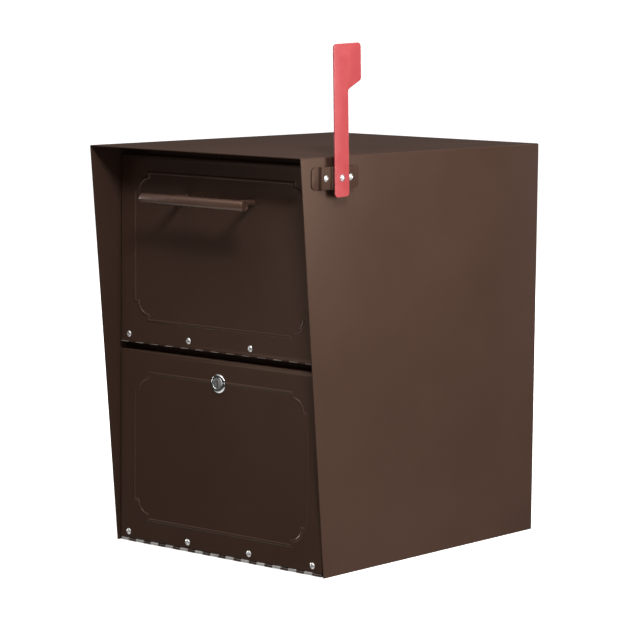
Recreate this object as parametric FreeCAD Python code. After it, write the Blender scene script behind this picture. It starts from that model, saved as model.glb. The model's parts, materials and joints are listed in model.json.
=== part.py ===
import FreeCAD, Part
import math
import os
from FreeCAD import Placement, Rotation, Vector

# Locking parcel box with a pull-down hopper door above a locked collection door.
# Millimetres.  X runs across the front, Y to the back, Z up.  The origin is the middle of the base.

# Overall cabinet
WIDTH = 343.0            # across the outside of the side walls
HEIGHT = 500.0           # base to roof
DEPTH = 413.5            # door face to back
VISOR = 49.4             # how far the roof reaches in front of the doors
SIDE_LEAD = 1.0          # how far the side walls lead the doors at the base
SHEET = 1.2              # gauge of all bent sheet
BEND = 0.6               # inside radius of a bend
WALL_FLANGE = 14.0       # welded flanges of the floor and the back

# Doors
DOOR_GAP = 3.3           # side wall to door edge
DOOR_FLANGE = 14.0       # depth of a door pan
LOCKER_TOP = 244.3       # top edge of the lower door
DOOR_SPLIT = 9.2         # opening between the two doors
ROOF_GAP = 10.8          # upper door's top edge to the underside of the roof

# Raised frame line pressed into each door
FRAME_INSET_X = 24.6     # door edge to the line's centre
LOCKER_FRAME = (26.9, 27.3)  # line to the door's bottom edge and to its top edge
HOPPER_FRAME = (29.5, 21.5)
FRAME_STEP = 6.6         # notch beside each corner arc
FRAME_ARC = 16.6         # corner arc radius
BEAD_WIDTH = 3.0
BEAD_HEIGHT = 0.8
BEAD_CHAMFER = 0.6

# Continuous hinges
KNUCKLE = 12.7           # length of one knuckle
KNUCKLE_R = 2.1
PIN_R = 1.0
PIN_FIT = 0.05           # radial running clearance on a hinge pin
HINGE_GAP = 0.4          # free space between knuckles and round them
LEAF = 0.9               # leaf gauge
FIXED_LEAF = 18.0        # reach of the fixed leaf behind the pin
DOOR_LEAF = 15.5         # reach of the door leaf above the pin
BASE_CLEARANCE = 0.5     # lowest knuckle above the base plane
SKIN_CLEARANCE = 0.35    # hidden knuckles behind the upper door's skin
HIDDEN_DROP = 2.5        # upper door's bottom edge below its pin

# Rivets
RIVET_PITCH = 101.6
RIVET_END = 6.0          # least distance from the last rivet to the hinge's end
RIVET_RISE = 7.7         # rivet row above the door's bottom edge
HOPPER_RIVET_RISE = 10.0
RIVET_R = 1.6
RIVET_HEAD_R = 3.95
RIVET_HEAD = 2.0
RIVET_TAIL_R = 2.9
RIVET_TAIL = 1.3
HOLE_FIT = 0.1           # radial clearance round rivets and screws

# Inner frame
RAIL_SETBACK = 10.5      # lower door's flange to the front of the strike web
RAIL_WEB = 24.0          # height of the strike web
RAIL_LEAD = 1.6          # front edge of the rail behind the upper hinge pin
RAIL_TAB = 14.0
STOP_GAP = 2.0           # door flanges to the front of the door stops
JAMB_WIDTH = 18.0
JAMB_SIDE = 15.0
JAMB_CLEARANCE = 2.0     # stop angles to what lies above and below them
HEADER_DROP = 29.0
BUMPER_R = 4.5
BUMPER_GAP = 0.1
BUMPER_INSET = 6.5       # bumper centre inside the door edge
BUMPER_END = 24.0        # bumper centre below the door's top edge

# Hopper
TRAY_GAP = 0.5           # tray's front edge above the hinge's door leaf
TRAY_REACH = 150.0       # tray's rear edge behind the hinge pin
TRAY_FALL = 30.0         # tray's rear edge below the hinge pin
TRAY_FLANGE = 14.0
CHEEK_INSET = 2.3        # cheek to door stop
CHEEK_SETBACK = 20.0     # cheek's round edge short of the tray's reach
CHEEK_FLANGE = 9.0
BAFFLE_FOOT_Y = 124.0    # door face to the baffle's lower edge
BAFFLE_HEAD_Y = 170.0
BAFFLE_FOOT_RISE = 112.0 # baffle's lower edge above the hopper hinge pin
BAFFLE_FLANGE = 15.0
BAFFLE_LIP = 10.0        # stiffening lip along the lower edge
BAFFLE_SIDE = 3.0        # baffle edge to side wall

# Handle
HANDLE_LENGTH = 167.0
HANDLE_R = 6.35
HANDLE_WALL = 1.6
HANDLE_STANDOFF = 47.5   # door face to bar axis
HANDLE_BELOW_TOP = 48.5  # bar axis below the upper door's top edge
POST_R = 4.4
POST_SPACING = 108.0
CAP_RECESS = 0.8
CAP_LENGTH = 4.0
SCREW_R = 2.5
SCREW_DEPTH = 14.0
SCREW_HEAD_R = 4.6
SCREW_HEAD = 2.6

# Cam lock
LOCK_BELOW_TOP = 28.3    # lock axis below the lower door's top edge
LOCK_BARREL_R = 9.4
LOCK_BEZEL_LIP = 2.4     # bezel wider than the barrel
LOCK_RIM = 1.4
LOCK_DOME = 2.4
LOCK_NUT_WALL = 2.1      # flats of the nut to the barrel
LOCK_NUT = 3.2
PLUG_R = 6.4
PLUG_FIT = 0.05          # radial running clearance of the plug
PLUG_RECESS = 1.2
KEYWAY = (1.8, 8.6)
KEYWAY_DEPTH = 9.0
CAM_REACH = 28.0
CAM_WIDTH = 14.0
CAM_GAP = 0.5            # cam behind the strike web
CAM_SHEET = 1.6
CAM_TENON = 6.0
CAM_SCREW_R = 1.9
CAM_SCREW_HEAD_R = 4.2
CAM_SCREW_HEAD = 2.2
CAM_SCREW_DEPTH = 9.0

# Signal flag on the right wall
FLAG_PIVOT_Y = 10.8      # door face to pivot
FLAG_PIVOT_BELOW = 24.6  # roof to pivot
FLAG_SHEET = 1.8
FLAG_STEM = 25.5
FLAG_TAIL = 22.4         # pivot to the stem's foot
FLAG_LENGTH = 155.6      # pivot to the flag's tip
FLAG_BLADE = 49.2        # width of the blade
FLAG_BLADE_HEIGHT = 43.3
FLAG_SLOPE = (17.8, 7.7) # sloped underside of the blade, across and down
FLAG_NECK_R = 5.0
FLAG_CORNER_R = 5.0
FLAG_LEAN = 2.0          # degrees towards the front
FLAG_GAP = 0.15
PIVOT_R = 2.4
PIVOT_FIT = 0.05         # radial running clearance of the flag on its pin
PIVOT_HEAD_R = 4.0
PIVOT_HEAD = 2.4
WASHER_R = 8.0
WASHER = 0.8

# Flag bracket
BRACKET_LENGTH = 84.5
BRACKET_HEIGHT = 26.6
BRACKET_FOOT = 12.5
BRACKET_SHOULDER = 6.4   # wall to the shoulders' outer face
BRACKET_HUB = 9.4        # wall to the hub's outer face
BRACKET_HUB_WIDTH = 29.0
BRACKET_SHEET = 1.5
BRACKET_CORNER_R = 6.0
BRACKET_RIVET_PITCH = 44.4
SPACER_R = 4.2

# Base mounting holes
BASE_HOLE_R = 4.25
BASE_HOLES_X = 203.2
BASE_HOLES_Y = 254.0

X_AXIS = Vector(1, 0, 0)
Y_AXIS = Vector(0, 1, 0)
Z_AXIS = Vector(0, 0, 1)
TO_FRONT = Vector(0, -1, 0)
TOOL_OVERRUN = 1.0       # how far a cutting shape runs past what it cuts

# Worked out from the sizes above
door_y = -DEPTH / 2
back_y = DEPTH / 2
wall_x = WIDTH / 2 - SHEET
roof_z = HEIGHT - SHEET
door_x = wall_x - DOOR_GAP
skin_back = door_y + SHEET
knuckles = int(2 * (door_x - SHEET - BEND) / KNUCKLE)
hinge_length = KNUCKLE * knuckles

low_pin = Vector(0, skin_back + LEAF / 2, BASE_CLEARANCE + KNUCKLE_R)
locker_bottom = low_pin.z + KNUCKLE_R + HINGE_GAP
hopper_bottom = LOCKER_TOP + DOOR_SPLIT
hopper_top = roof_z - ROOF_GAP
high_pin = Vector(0, skin_back + SKIN_CLEARANCE + KNUCKLE_R, hopper_bottom + HIDDEN_DROP)
rail_top = high_pin.z - KNUCKLE_R
rail_front = high_pin.y + RAIL_LEAD
flange_back = door_y + DOOR_FLANGE
web_y = flange_back + RAIL_SETBACK
web_bottom = rail_top - SHEET - RAIL_WEB
stop_y = flange_back + STOP_GAP
header_z = roof_z - HEADER_DROP

locker_rivet_z = locker_bottom + RIVET_RISE
hopper_rivet_z = hopper_bottom + HOPPER_RIVET_RISE
rivet_count = 1 + int((hinge_length - 2 * RIVET_END) / RIVET_PITCH)
rivet_xs = [RIVET_PITCH * (i - (rivet_count - 1) / 2) for i in range(rivet_count)]

lock_z = LOCKER_TOP - LOCK_BELOW_TOP
cam_y = web_y + SHEET + CAM_GAP
handle_z = hopper_top - HANDLE_BELOW_TOP
cheek_x = wall_x - JAMB_WIDTH - CHEEK_INSET
cheek_r = TRAY_REACH - CHEEK_SETBACK
bezel_r = LOCK_BARREL_R + LOCK_BEZEL_LIP

right_wall = WIDTH / 2
pivot = Vector(right_wall, door_y + FLAG_PIVOT_Y, HEIGHT - FLAG_PIVOT_BELOW)
washer_x = right_wall + BRACKET_HUB
flag_x = washer_x + WASHER + FLAG_GAP


def box(x0, x1, y0, y1, z0, z1):
    return Part.makeBox(x1 - x0, y1 - y0, z1 - z0, Vector(x0, y0, z0))


def rod(radius, length, start, direction):
    return Part.makeCylinder(radius, length, start, direction)


def prism(points, travel):
    """Closed outline of straight edges, pushed along travel."""
    outline = Part.makePolygon(points + points[:1])
    return Part.Face(outline).extrude(travel)


def aimed(shape, start, direction):
    """Shape made on +Z at the origin, moved to start and turned to direction."""
    shape.Placement = Placement(start, Rotation(Z_AXIS, direction))
    return shape


def dome(radius, height, start, direction):
    """Low round head with a flat seat."""
    sphere_r = (radius ** 2 + height ** 2) / (2 * height)
    half_angle = math.asin(radius / sphere_r)
    middle = Vector(sphere_r * math.sin(half_angle / 2), 0,
                    height - sphere_r * (1 - math.cos(half_angle / 2)))
    seat, rim, crown = Vector(0, 0, 0), Vector(radius, 0, 0), Vector(0, 0, height)
    edges = [Part.makeLine(seat, rim), Part.Arc(rim, middle, crown).toShape(), Part.makeLine(crown, seat)]
    profile = Part.Face(Part.Wire(edges))
    return aimed(profile.revolve(seat, Z_AXIS, 360), start, direction)


def hexagon(across_flats, length, start, direction):
    corner_r = across_flats / math.sqrt(3)
    points = []
    for i in range(6):
        angle = math.radians(60 * i)
        points.append(Vector(corner_r * math.cos(angle), corner_r * math.sin(angle), 0))
    return aimed(prism(points, Vector(0, 0, length)), start, direction)


def edges_where(shape, test):
    """Edges whose middle point passes the test."""
    found = []
    for edge in shape.Edges:
        middle = edge.valueAt((edge.FirstParameter + edge.LastParameter) / 2)
        if test(middle):
            found.append(edge)
    return found


def near(a, b):
    return abs(a - b) < 1e-6


def bent_sheet(path, gauge, travel, radius=BEND):
    """Sheet bent along a path of points; the gauge grows to the left of travel x path."""
    normals = []
    for start, end in zip(path, path[1:]):
        normals.append(travel.cross(end - start).normalize())
    offset = [path[0] + normals[0] * gauge]
    for corner, before, after in zip(path[1:-1], normals, normals[1:]):
        offset.append(corner + (before + after) * (gauge / (1 + before.dot(after))))
    offset.append(path[-1] + normals[-1] * gauge)
    sheet = prism(path + offset[::-1], travel)
    for corners, others in ((path, offset), (offset, path)):
        for i in range(1, len(path) - 1):
            corner = corners[i] + travel / 2
            inside = others[i] - corners[i]
            hollow = inside.dot(path[i - 1] + path[i + 1] - path[i] * 2) < 0
            turn_r = radius if hollow else radius + gauge
            bend = edges_where(sheet, lambda point: (point - corner).Length < 1e-4)
            sheet = sheet.makeFillet(turn_r, bend)
    return sheet


def make_wrapper():
    """Side walls and roof bent from one sheet, with the front edges cut to the visor's slope."""
    front = door_y - VISOR
    corners = [(-WIDTH / 2, 0), (-WIDTH / 2, HEIGHT), (WIDTH / 2, HEIGHT), (WIDTH / 2, 0)]
    path = [Vector(x, front, z) for x, z in corners]
    wrapper = bent_sheet(path, SHEET, Vector(0, back_y - front, 0))
    slope = [Vector(-WIDTH, front - TOOL_OVERRUN, HEIGHT),
             Vector(-WIDTH, front, HEIGHT),
             Vector(-WIDTH, door_y - SIDE_LEAD, 0),
             Vector(-WIDTH, door_y - SIDE_LEAD, -TOOL_OVERRUN),
             Vector(-WIDTH, front - TOOL_OVERRUN, -TOOL_OVERRUN)]
    wrapper = wrapper.cut(prism(slope, Vector(2 * WIDTH, 0, 0)))
    for y in bracket_rivet_ys():
        start = Vector(wall_x - TOOL_OVERRUN, y, pivot.z)
        wrapper = wrapper.cut(rod(RIVET_R + HOLE_FIT, SHEET + 2 * TOOL_OVERRUN, start, X_AXIS))
    return wrapper


def make_back_panel():
    """Back sheet with welded flanges along the sides and roof."""
    flange_y = back_y - WALL_FLANGE
    foot = WALL_FLANGE + JAMB_CLEARANCE
    panel = box(-wall_x, wall_x, back_y - SHEET, back_y, 0, roof_z)
    for x0, x1 in ((-wall_x, SHEET - wall_x), (wall_x - SHEET, wall_x)):
        panel = panel.fuse(box(x0, x1, flange_y, back_y, foot, roof_z))
    panel = panel.fuse(box(-wall_x, wall_x, flange_y, back_y, roof_z - SHEET, roof_z)).removeSplitter()
    corners = edges_where(panel, lambda p: near(abs(p.x), wall_x) and near(p.z, roof_z))
    return panel.makeFillet(BEND + HOLE_FIT, corners)


def make_floor_panel():
    """Floor sheet with welded flanges and four mounting holes."""
    front = low_pin.y + KNUCKLE_R + HINGE_GAP
    back = back_y - SHEET
    panel = box(-wall_x, wall_x, front, back, 0, SHEET)
    for x0, x1 in ((-wall_x, SHEET - wall_x), (wall_x - SHEET, wall_x)):
        panel = panel.fuse(box(x0, x1, front + WALL_FLANGE + FIXED_LEAF, back, 0, WALL_FLANGE))
    panel = panel.fuse(box(-wall_x, wall_x, back - SHEET, back, 0, WALL_FLANGE)).removeSplitter()
    for x in (-BASE_HOLES_X / 2, BASE_HOLES_X / 2):
        for y in (-BASE_HOLES_Y / 2, BASE_HOLES_Y / 2):
            hole = rod(BASE_HOLE_R, SHEET + 2 * TOOL_OVERRUN, Vector(x, y, -TOOL_OVERRUN), Z_AXIS)
            panel = panel.cut(hole)
    return panel


def make_centre_rail():
    """Angle between the doors: it carries the upper hinge and is the strike for the cam."""
    half = hinge_length / 2
    shelf = box(-half, half, rail_front, web_y + SHEET, rail_top - SHEET, rail_top)
    web = box(-wall_x, wall_x, web_y, web_y + SHEET, web_bottom, rail_top)
    rail = shelf.fuse(web)
    for x0, x1 in ((-wall_x, SHEET - wall_x), (wall_x - SHEET, wall_x)):
        rail = rail.fuse(box(x0, x1, web_y - RAIL_TAB, web_y + SHEET, web_bottom, rail_top))
    rail = rail.removeSplitter()
    for x in rivet_xs:
        start = Vector(x, rail_rivet_y(), rail_top - SHEET - TOOL_OVERRUN)
        rail = rail.cut(rod(RIVET_R + HOLE_FIT, SHEET + 2 * TOOL_OVERRUN, start, Z_AXIS))
    return rail


def make_header_rail():
    """Angle under the roof that closes the gap above the upper door."""
    x = wall_x - BEND
    path = [Vector(-x, stop_y + JAMB_SIDE, roof_z), Vector(-x, stop_y, roof_z), Vector(-x, stop_y, header_z)]
    return bent_sheet(path, SHEET, Vector(2 * x, 0, 0))


def make_jamb(side, bottom, top):
    """Door stop angle welded to one side wall."""
    path = [Vector(side * (wall_x - JAMB_WIDTH), stop_y, bottom),
            Vector(side * wall_x, stop_y, bottom),
            Vector(side * wall_x, stop_y + JAMB_SIDE, bottom)]
    if side < 0:
        path = path[::-1]
    return bent_sheet(path, SHEET, Vector(0, 0, top - bottom))


def make_door_bumpers():
    """Rubber buttons on the door stops."""
    length = STOP_GAP - BUMPER_GAP
    bumpers = []
    for top in (LOCKER_TOP, hopper_top):
        for side in (-1, 1):
            centre = Vector(side * (door_x - BUMPER_INSET), stop_y, top - BUMPER_END)
            bumpers.append(rod(BUMPER_R, length, centre, TO_FRONT))
    return Part.makeCompound(bumpers)


def make_baffle_plate():
    """Sloping plate that keeps hands in the hopper out of the locked space."""
    x = wall_x - BAFFLE_SIDE
    foot_z = high_pin.z + BAFFLE_FOOT_RISE
    path = [Vector(-x, door_y + BAFFLE_HEAD_Y + BAFFLE_FLANGE, roof_z),
            Vector(-x, door_y + BAFFLE_HEAD_Y, roof_z),
            Vector(-x, door_y + BAFFLE_FOOT_Y, foot_z),
            Vector(-x, door_y + BAFFLE_FOOT_Y + BAFFLE_LIP, foot_z)]
    return bent_sheet(path, SHEET, Vector(2 * x, 0, 0))


def make_hinge(pin, leaf_y, seat_z):
    """Continuous hinge: a leaf lying on seat_z, a leaf standing behind leaf_y, and the pin."""
    half = hinge_length / 2
    reach = KNUCKLE_R + HINGE_GAP
    fixed = box(-half, half, pin.y + reach, pin.y + FIXED_LEAF, seat_z, seat_z + LEAF)
    moving = box(-half, half, leaf_y, leaf_y + LEAF, pin.z + reach, pin.z + DOOR_LEAF)
    fixed_parts, moving_parts = [], []
    for i in range(knuckles):
        x0 = i * KNUCKLE - half + HINGE_GAP / 2
        x1 = x0 + KNUCKLE - HINGE_GAP
        barrel = rod(KNUCKLE_R, x1 - x0, Vector(x0, pin.y, pin.z), X_AXIS)
        if i % 2 == 0:
            fixed_parts += [barrel, box(x0, x1, pin.y, pin.y + reach, seat_z, seat_z + LEAF)]
        else:
            moving_parts += [barrel, box(x0, x1, leaf_y, leaf_y + LEAF, pin.z, pin.z + reach)]
    bore = rod(PIN_R + PIN_FIT, hinge_length, Vector(-half, pin.y, pin.z), X_AXIS)
    fixed = fixed.fuse(fixed_parts).removeSplitter().cut(bore)
    moving = moving.fuse(moving_parts).removeSplitter().cut(bore)
    return fixed, moving, rod(PIN_R, hinge_length, Vector(-half, pin.y, pin.z), X_AXIS)


def rail_rivet_y():
    return (high_pin.y + KNUCKLE_R + high_pin.y + FIXED_LEAF) / 2


def drill_row(shape, z):
    """Rivet holes through everything on the back of a door skin."""
    for x in rivet_xs:
        start = Vector(x, door_y - TOOL_OVERRUN, z)
        shape = shape.cut(rod(RIVET_R + HOLE_FIT, DOOR_FLANGE, start, Y_AXIS))
    return shape


def rivet(seat, direction, grip):
    """Domed head on the seat, shank against direction through the grip, and a set tail."""
    head = dome(RIVET_HEAD_R, RIVET_HEAD, seat, direction)
    shank = rod(RIVET_R, grip, seat, -direction)
    tail = dome(RIVET_TAIL_R, RIVET_TAIL, seat - direction * grip, -direction)
    return head.fuse([shank, tail]).removeSplitter()


def door_rivets(z):
    return Part.makeCompound([rivet(Vector(x, door_y, z), TO_FRONT, SHEET + LEAF) for x in rivet_xs])


def frame_edges(half, bottom, top, y):
    """Rectangle whose corners step in to a quarter arc."""
    inset = FRAME_STEP + FRAME_ARC
    edges = []
    last = None
    first = None
    for sx, sz, flip in ((-1, 1, False), (1, 1, True), (1, -1, False), (-1, -1, True)):
        z_edge = top if sz > 0 else bottom
        side = Vector(sx * half, y, z_edge - sz * inset)
        step = Vector(sx * (half - FRAME_STEP), y, side.z)
        centre = Vector(sx * (half - inset), y, side.z)
        middle = centre + Vector(sx, 0, sz) * (FRAME_ARC / math.sqrt(2))
        crown = Vector(centre.x, y, z_edge - sz * FRAME_STEP)
        end = Vector(centre.x, y, z_edge)
        arc = Part.Arc(step, middle, crown).toShape()
        corner = [Part.makeLine(side, step), arc, Part.makeLine(crown, end)]
        entry, leave = (end, side) if flip else (side, end)
        if last:
            edges.append(Part.makeLine(last, entry))
        else:
            first = entry
        edges += corner[::-1] if flip else corner
        last = leave
    edges.append(Part.makeLine(last, first))
    return Part.Wire(Part.__sortEdges__(edges))


def make_bead(bottom, top, margins):
    """The raised frame line, standing on the door face inside its margins."""
    line = frame_edges(door_x - FRAME_INSET_X, bottom + margins[0], top - margins[1], door_y)
    outer = line.makeOffset2D(BEAD_WIDTH / 2, 2)
    inner = line.makeOffset2D(-BEAD_WIDTH / 2, 2)
    ring = Part.Face(outer).cut(Part.Face(inner)).Faces[0]
    bead = ring.extrude(TO_FRONT * BEAD_HEIGHT)
    crest = edges_where(bead, lambda p: near(p.y, door_y - BEAD_HEIGHT))
    return bead.makeChamfer(BEAD_CHAMFER, crest)


def make_door_panel(bottom, top, bead, rivet_z):
    """Door skin bent into a shallow pan, with the frame line pressed through it."""
    outer = box(-door_x, door_x, door_y, flange_back, bottom, top)
    hollow = box(SHEET - door_x, door_x - SHEET, door_y + SHEET, flange_back + TOOL_OVERRUN,
                 bottom - TOOL_OVERRUN, top - SHEET)
    rims = []
    for shape, x, y, z, turn_r in ((outer, door_x, door_y, top, BEND + SHEET),
                                   (hollow, door_x - SHEET, door_y + SHEET, top - SHEET, BEND)):
        bends = edges_where(shape, lambda p: (near(abs(p.x), x) and (near(p.y, y) or near(p.z, z)))
                            or (near(p.y, y) and near(p.z, z)))
        rims.append(shape.makeFillet(turn_r, bends))
    panel = rims[0].cut(rims[1])
    groove = bead.translated(Vector(0, SHEET, 0))
    panel = panel.fuse(bead).removeSplitter().cut(groove)
    return drill_row(panel, rivet_z)


def make_hopper_panel():
    bead = make_bead(hopper_bottom, hopper_top, HOPPER_FRAME)
    panel = make_door_panel(hopper_bottom, hopper_top, bead, hopper_rivet_z)
    for x in post_xs():
        start = Vector(x, door_y - TOOL_OVERRUN, handle_z)
        panel = panel.cut(rod(SCREW_R + HOLE_FIT, SHEET + 2 * TOOL_OVERRUN, start, Y_AXIS))
    return panel


def make_locker_panel():
    start = Vector(0, door_y - TOOL_OVERRUN, lock_z)
    bead = make_bead(locker_bottom, LOCKER_TOP, LOCKER_FRAME)
    bead = bead.cut(rod(bezel_r + HOLE_FIT, DOOR_FLANGE, start, Y_AXIS))
    panel = make_door_panel(locker_bottom, LOCKER_TOP, bead, locker_rivet_z)
    return panel.cut(rod(LOCK_BARREL_R + HOLE_FIT, DOOR_FLANGE, start, Y_AXIS))


def post_xs():
    return (-POST_SPACING / 2, POST_SPACING / 2)


def handle_axis(x):
    return Vector(x, door_y - HANDLE_STANDOFF, handle_z)


def make_handle_bar():
    start = handle_axis(-HANDLE_LENGTH / 2)
    bar = rod(HANDLE_R, HANDLE_LENGTH, start, X_AXIS)
    bar = bar.makeChamfer(HANDLE_WALL / 3, edges_where(bar, lambda p: near(abs(p.x), HANDLE_LENGTH / 2)))
    return bar.cut(rod(HANDLE_R - HANDLE_WALL, HANDLE_LENGTH, start, X_AXIS))


def make_handle_end_caps():
    caps = []
    for side in (-1, 1):
        start = handle_axis(side * (HANDLE_LENGTH / 2 - CAP_RECESS))
        caps.append(rod(HANDLE_R - HANDLE_WALL, CAP_LENGTH, start, X_AXIS * -side))
    return Part.makeCompound(caps)


def make_handle_posts():
    """Two round posts, notched to sit against the bar."""
    bar = rod(HANDLE_R, HANDLE_LENGTH, handle_axis(-HANDLE_LENGTH / 2), X_AXIS)
    posts = []
    for x in post_xs():
        foot = Vector(x, door_y, handle_z)
        post = rod(POST_R, HANDLE_STANDOFF, foot, TO_FRONT).cut(bar)
        posts.append(post.cut(rod(SCREW_R + HOLE_FIT, SCREW_DEPTH + TOOL_OVERRUN, foot, TO_FRONT)))
    return Part.makeCompound(posts)


def make_handle_screws():
    screws = []
    for x in post_xs():
        seat = Vector(x, skin_back, handle_z)
        head = dome(SCREW_HEAD_R, SCREW_HEAD, seat, Y_AXIS)
        screws.append(head.fuse(rod(SCREW_R, SHEET + SCREW_DEPTH, seat, TO_FRONT)).removeSplitter())
    return Part.makeCompound(screws)


def tray_point(share, lift=0.0):
    """Point along the tray's slope, from its front edge (0) to its rear edge (1)."""
    front = Vector(0, skin_back, high_pin.z + DOOR_LEAF + TRAY_GAP)
    rear = Vector(0, high_pin.y + TRAY_REACH, high_pin.z - TRAY_FALL)
    return front + (rear - front) * share + Vector(0, 0, lift)


def make_hopper_tray():
    """Sloping tray fixed to the back of the upper door."""
    x = cheek_x - SHEET
    front = tray_point(0)
    path = [front + Vector(-x, 0, TRAY_FLANGE), front + Vector(-x, 0, 0), tray_point(1) + Vector(-x, 0, 0)]
    return bent_sheet(path, SHEET, Vector(2 * x, 0, 0))


def make_cheek(side):
    """Fan-shaped side of the hopper with a flange on the door's skin."""
    inner_x = side * (cheek_x - SHEET)
    fan = rod(cheek_r, SHEET, Vector(inner_x, high_pin.y, high_pin.z), X_AXIS * side)
    corners = [tray_point(0, SHEET), tray_point(1, SHEET), tray_point(1, SHEET), tray_point(0, SHEET)]
    top = header_z - JAMB_CLEARANCE
    corners[2].z = corners[3].z = top
    outline = [Vector(inner_x - side * TOOL_OVERRUN, p.y, p.z) for p in corners]
    fan = fan.common(prism(outline, X_AXIS * side * (SHEET + 2 * TOOL_OVERRUN)))
    x0, x1 = sorted((inner_x, side * (cheek_x + CHEEK_FLANGE)))
    foot = tray_point(0).z + TRAY_FLANGE / 2
    flange = box(x0, x1, skin_back, skin_back + SHEET, foot, min(high_pin.z + cheek_r - CHEEK_FLANGE, top))
    return fan.fuse(flange).removeSplitter()


def make_lock_body():
    """Chrome bezel and barrel of the cam lock."""
    centre = Vector(0, door_y, lock_z)
    rim = rod(bezel_r, LOCK_RIM, centre, TO_FRONT)
    crown = dome(bezel_r, LOCK_DOME, centre + TO_FRONT * LOCK_RIM, TO_FRONT)
    barrel = rod(LOCK_BARREL_R, cam_y - CAM_GAP / 2 - door_y, centre, Y_AXIS)
    body = rim.fuse([crown, barrel]).removeSplitter()
    front = centre + TO_FRONT * (LOCK_RIM + LOCK_DOME + TOOL_OVERRUN)
    return body.cut(rod(PLUG_R + PLUG_FIT, DEPTH, front, Y_AXIS))


def make_lock_nut():
    centre = Vector(0, skin_back, lock_z)
    nut = hexagon(2 * (LOCK_BARREL_R + LOCK_NUT_WALL), LOCK_NUT, centre, Y_AXIS)
    return nut.cut(rod(LOCK_BARREL_R, LOCK_NUT, centre, Y_AXIS))


def make_lock_plug():
    """Turning core: keyed face in front, square tenon for the cam behind."""
    face_y = door_y - LOCK_RIM - LOCK_DOME + PLUG_RECESS
    plug = rod(PLUG_R, cam_y - face_y, Vector(0, face_y, lock_z), Y_AXIS)
    half = CAM_TENON / 2
    tenon = box(-half, half, cam_y, cam_y + CAM_SHEET, lock_z - half, lock_z + half)
    plug = plug.fuse(tenon).removeSplitter()
    slot_x, slot_z = KEYWAY[0] / 2, KEYWAY[1] / 2
    slot = box(-slot_x, slot_x, face_y - TOOL_OVERRUN, face_y + KEYWAY_DEPTH,
               lock_z - slot_z, lock_z + slot_z)
    screw_end = Vector(0, cam_y + CAM_SHEET, lock_z)
    return plug.cut([slot, rod(CAM_SCREW_R + HOLE_FIT, CAM_SCREW_DEPTH + TOOL_OVERRUN, screw_end, TO_FRONT)])


def make_lock_cam():
    """Flat cam on the plug's tenon, lying sideways when unlocked."""
    centre = Vector(0, cam_y, lock_z)
    half = CAM_WIDTH / 2
    tip = CAM_REACH - half
    cam = rod(half, CAM_SHEET, centre, Y_AXIS)
    cam = cam.fuse([rod(half, CAM_SHEET, centre + X_AXIS * tip, Y_AXIS),
                    box(0, tip, cam_y, cam_y + CAM_SHEET, lock_z - half, lock_z + half)]).removeSplitter()
    hole = CAM_TENON / 2
    return cam.cut(box(-hole, hole, cam_y, cam_y + CAM_SHEET, lock_z - hole, lock_z + hole))


def make_cam_screw():
    seat = Vector(0, cam_y + CAM_SHEET, lock_z)
    head = dome(CAM_SCREW_HEAD_R, CAM_SCREW_HEAD, seat, Y_AXIS)
    return head.fuse(rod(CAM_SCREW_R, CAM_SCREW_DEPTH, seat, TO_FRONT)).removeSplitter()


def bracket_rivet_ys():
    return (pivot.y - BRACKET_RIVET_PITCH / 2, pivot.y + BRACKET_RIVET_PITCH / 2)


def make_flag_bracket():
    """Stepped strap on the right wall: two feet, two shoulders and a raised hub."""
    end = BRACKET_LENGTH / 2
    foot = end - BRACKET_FOOT
    hub = BRACKET_HUB_WIDTH / 2
    bottom = pivot.z - BRACKET_HEIGHT / 2
    steps = [(-end, BRACKET_SHEET), (-foot, BRACKET_SHEET), (-foot, BRACKET_SHOULDER),
             (-hub, BRACKET_SHOULDER), (-hub, BRACKET_HUB)]
    steps += [(-y, rise) for y, rise in steps[::-1]]
    path = [Vector(right_wall + rise, pivot.y + y, bottom) for y, rise in steps]
    strap = bent_sheet(path, BRACKET_SHEET, Vector(0, 0, BRACKET_HEIGHT), BRACKET_SHEET / 3)
    ends = edges_where(strap, lambda p: near(abs(p.y - pivot.y), end)
                       and near(abs(p.z - pivot.z), BRACKET_HEIGHT / 2))
    strap = strap.makeFillet(BRACKET_CORNER_R, ends)
    for y in bracket_rivet_ys():
        strap = strap.cut(rod(RIVET_R + HOLE_FIT, BRACKET_HUB, Vector(right_wall, y, pivot.z), X_AXIS))
    return strap.cut(rod(PIVOT_R, BRACKET_HUB, pivot, X_AXIS))


def make_bracket_spacers():
    spacers = []
    for y in bracket_rivet_ys():
        start = Vector(right_wall, y, pivot.z)
        length = BRACKET_SHOULDER - BRACKET_SHEET
        tube = rod(SPACER_R, length, start, X_AXIS)
        spacers.append(tube.cut(rod(RIVET_R + HOLE_FIT, length, start, X_AXIS)))
    return Part.makeCompound(spacers)


def make_bracket_rivets():
    grip = BRACKET_SHOULDER + SHEET
    seats = [Vector(right_wall + BRACKET_SHOULDER, y, pivot.z) for y in bracket_rivet_ys()]
    return Part.makeCompound([rivet(seat, X_AXIS, grip) for seat in seats])


def make_flag_pivot():
    """Shouldered pin in the bracket's hub that the flag turns on."""
    hub_back = right_wall + BRACKET_HUB - BRACKET_SHEET
    head_x = flag_x + FLAG_SHEET + FLAG_GAP
    shank = rod(PIVOT_R, head_x - hub_back, Vector(hub_back, pivot.y, pivot.z), X_AXIS)
    head = dome(PIVOT_HEAD_R, PIVOT_HEAD, Vector(head_x, pivot.y, pivot.z), X_AXIS)
    tail = dome(PIVOT_HEAD_R, PIVOT_HEAD / 2, Vector(hub_back, pivot.y, pivot.z), -X_AXIS)
    return shank.fuse([head, tail]).removeSplitter()


def make_flag_washer():
    start = Vector(washer_x, pivot.y, pivot.z)
    return rod(WASHER_R, WASHER, start, X_AXIS).cut(rod(PIVOT_R, WASHER, start, X_AXIS))


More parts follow.
